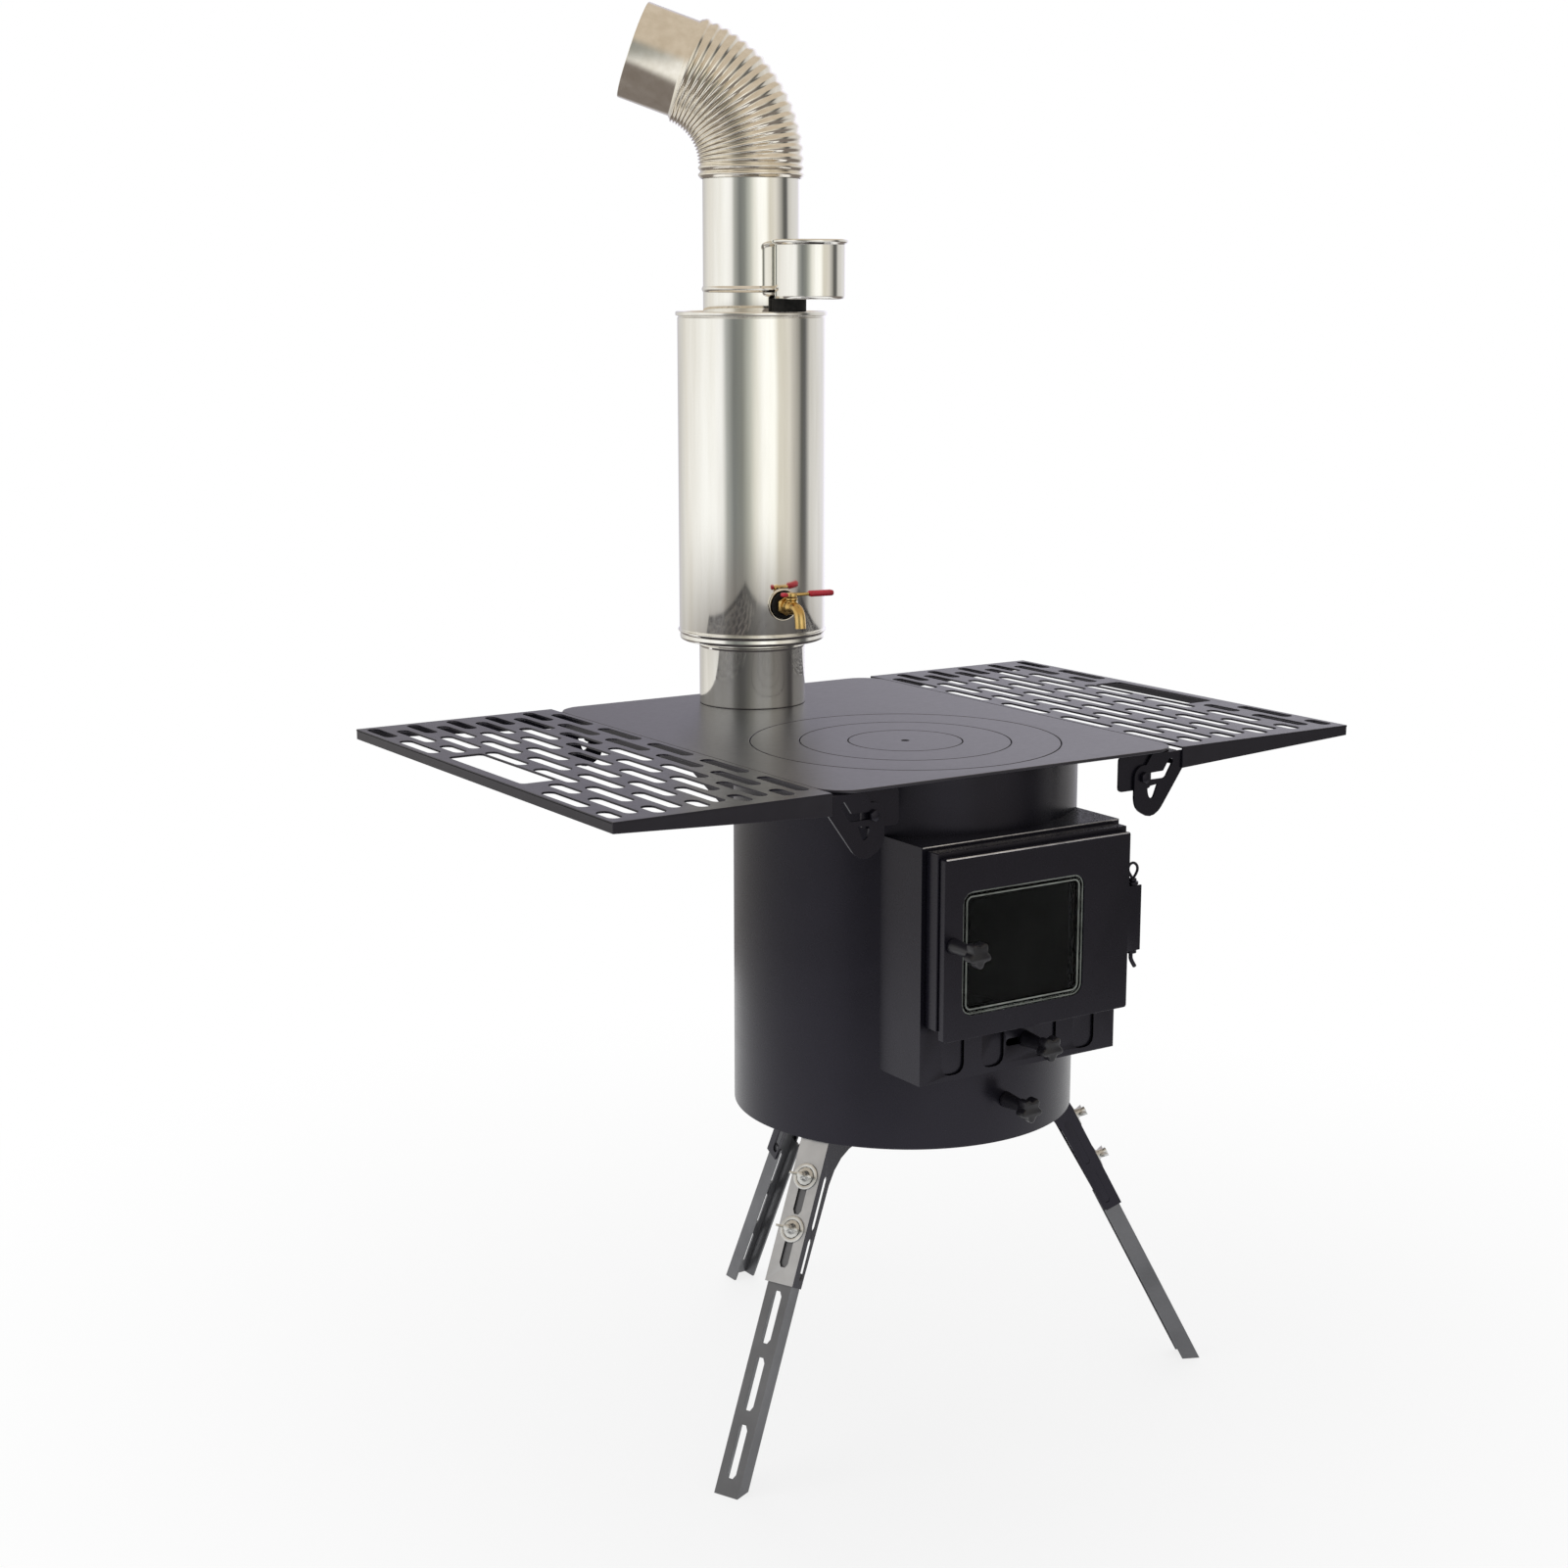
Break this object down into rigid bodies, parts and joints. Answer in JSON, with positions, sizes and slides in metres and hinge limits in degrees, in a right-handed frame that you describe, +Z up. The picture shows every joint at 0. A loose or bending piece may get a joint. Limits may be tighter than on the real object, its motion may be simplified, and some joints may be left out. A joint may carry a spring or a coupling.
{
  "type": "tent wood stove",
  "caption": "Portable wood-burning stove: round drum on telescopic splayed legs, cooking plate with fold-down grille shelves, glazed door, chimney with water tank and corrugated elbow",
  "frame": {"origin": "middle of the bounding box in plan, at the floor", "axes": "+Z up along the chimney, door towards -Y, +X to the right seen from the front"},
  "size_m": [0.833, 0.628, 1.3539],
  "materials": {
    "black_steel": "satin black powder coat",
    "plate_steel": "heat-resistant dark grey coat, slightly rough",
    "grate_iron": "dark cast surface",
    "leg_steel": "mid grey satin coat",
    "zinc": "plain zinc-plated fasteners",
    "stainless": "bright stainless sheet",
    "brass": "polished brass casting",
    "red_grip": "red moulded sleeve",
    "black_rubber": "matt black rubber",
    "rope_seal": "grey woven glass fibre",
    "knob_plastic": "black moulded thermoset",
    "window": "clear heat-resistant glass"
  },
  "bodies": {
    "stove_frame": {"drum_shell": "black_steel", "drum_base": "black_steel", "door_housing": "black_steel", "door_frame": "black_steel", "hinge_ears": "black_steel", "smoke_duct": "black_steel", "flue_collar": "black_steel", "cooking_plate": "plate_steel", "fire_grate": "grate_iron", "hinge_pin": "black_steel", "flue_sleeve": "stainless", "water_tank": "stainless", "smoke_pipe": "stainless", "upper_pipe": "stainless", "filler_cup": "stainless", "tap_dish": "stainless", "filler_gasket": "black_rubber", "tap_washer": "black_rubber", "tap_body": "brass", "right_bracket": "black_steel", "right_front_pivot_bolt": "zinc", "right_rear_pivot_bolt": "zinc", "left_bracket": "black_steel", "left_front_pivot_bolt": "zinc", "left_rear_pivot_bolt": "zinc", "left_leg_socket": "black_steel", "right_leg_socket": "black_steel", "rear_leg_socket": "black_steel"},
    "door": {"door_panel": "black_steel", "window_glass": "window", "glass_retainer": "zinc", "door_gasket": "rope_seal"},
    "latch": {"latch_bar": "zinc", "door_knob": "knob_plastic"},
    "shutter": {"air_shutter": "black_steel", "air_knob": "knob_plastic"},
    "riddle": {"riddle_plate": "grate_iron", "riddle_rod": "zinc", "riddle_knob": "knob_plastic"},
    "outer_cooking_ring": {"outer_ring": "plate_steel"},
    "inner_cooking_ring": {"inner_ring": "plate_steel"},
    "lid": {"centre_lid": "plate_steel"},
    "right_shelf_body": {"right_shelf": "black_steel", "right_front_arm": "black_steel", "right_rear_arm": "black_steel"},
    "left_shelf_body": {"left_shelf": "black_steel", "left_front_arm": "black_steel", "left_rear_arm": "black_steel"},
    "tap_handle": {"tap_lever": "brass", "tap_grip": "red_grip"},
    "elbow_body": {"elbow": "stainless"},
    "left_leg_body": {"left_leg": "leg_steel", "left_upper_wing_bolt": "zinc", "left_lower_wing_bolt": "zinc"},
    "right_leg_body": {"right_leg": "leg_steel", "right_upper_wing_bolt": "zinc", "right_lower_wing_bolt": "zinc"},
    "rear_leg_body": {"rear_leg": "leg_steel", "rear_upper_wing_bolt": "zinc", "rear_lower_wing_bolt": "zinc"}
  },
  "joints": [
    {"name": "door_swing", "type": "hinge", "parent": "stove_frame", "child": "door", "pos_m": [0.1145, -0.26812, 0.495], "axis": [0, 0, 1], "range_deg": [0, 120]},
    {"name": "latch_turn", "type": "hinge", "parent": "door", "child": "latch", "pos_m": [-0.096, -0.27332, 0.507], "axis": [0, 1, 0], "range_deg": [0, 90]},
    {"name": "air_slide", "type": "slide", "parent": "stove_frame", "child": "shutter", "axis": [-1, 0, 0], "range_m": [0, 0.02]},
    {"name": "riddle_slide", "type": "slide", "parent": "stove_frame", "child": "riddle", "axis": [0, -1, 0], "range_m": [0, 0.03]},
    {"name": "outer_ring_lift", "type": "slide", "parent": "stove_frame", "child": "outer_cooking_ring", "axis": [0, 0, 1], "range_m": [0, 0.04]},
    {"name": "inner_ring_lift", "type": "slide", "parent": "outer_cooking_ring", "child": "inner_cooking_ring", "axis": [0, 0, 1], "range_m": [0, 0.03]},
    {"name": "lid_lift", "type": "slide", "parent": "inner_cooking_ring", "child": "lid", "axis": [0, 0, 1], "range_m": [0, 0.02]},
    {"name": "right_shelf_fold", "type": "hinge", "parent": "stove_frame", "child": "right_shelf_body", "pos_m": [0.155, 0.01468, 0.625], "axis": [0, 1, 0], "range_deg": [0, 90]},
    {"name": "left_shelf_fold", "type": "hinge", "parent": "stove_frame", "child": "left_shelf_body", "pos_m": [-0.155, 0.01468, 0.625], "axis": [0, -1, 0], "range_deg": [0, 90]},
    {"name": "tap_turn", "type": "hinge", "parent": "stove_frame", "child": "tap_handle", "pos_m": [-0.01344, 0.11302, 0.772], "axis": [0, 0, -1], "range_deg": [0, 90]},
    {"name": "elbow_swivel", "type": "hinge", "parent": "stove_frame", "child": "elbow_body", "pos_m": [0, 0.20868, 1.205], "axis": [0, 0, 1], "continuous": true},
    {"name": "left_leg_slide", "type": "slide", "parent": "stove_frame", "child": "left_leg_body", "axis": [-0.4218, -0.1878, -0.887], "range_m": [0, 0.032]},
    {"name": "right_leg_slide", "type": "slide", "parent": "stove_frame", "child": "right_leg_body", "axis": [0.4218, -0.1878, -0.887], "range_m": [0, 0.032]},
    {"name": "rear_leg_slide", "type": "slide", "parent": "stove_frame", "child": "rear_leg_body", "axis": [0, 0.4617, -0.887], "range_m": [0, 0.032]}
  ]
}
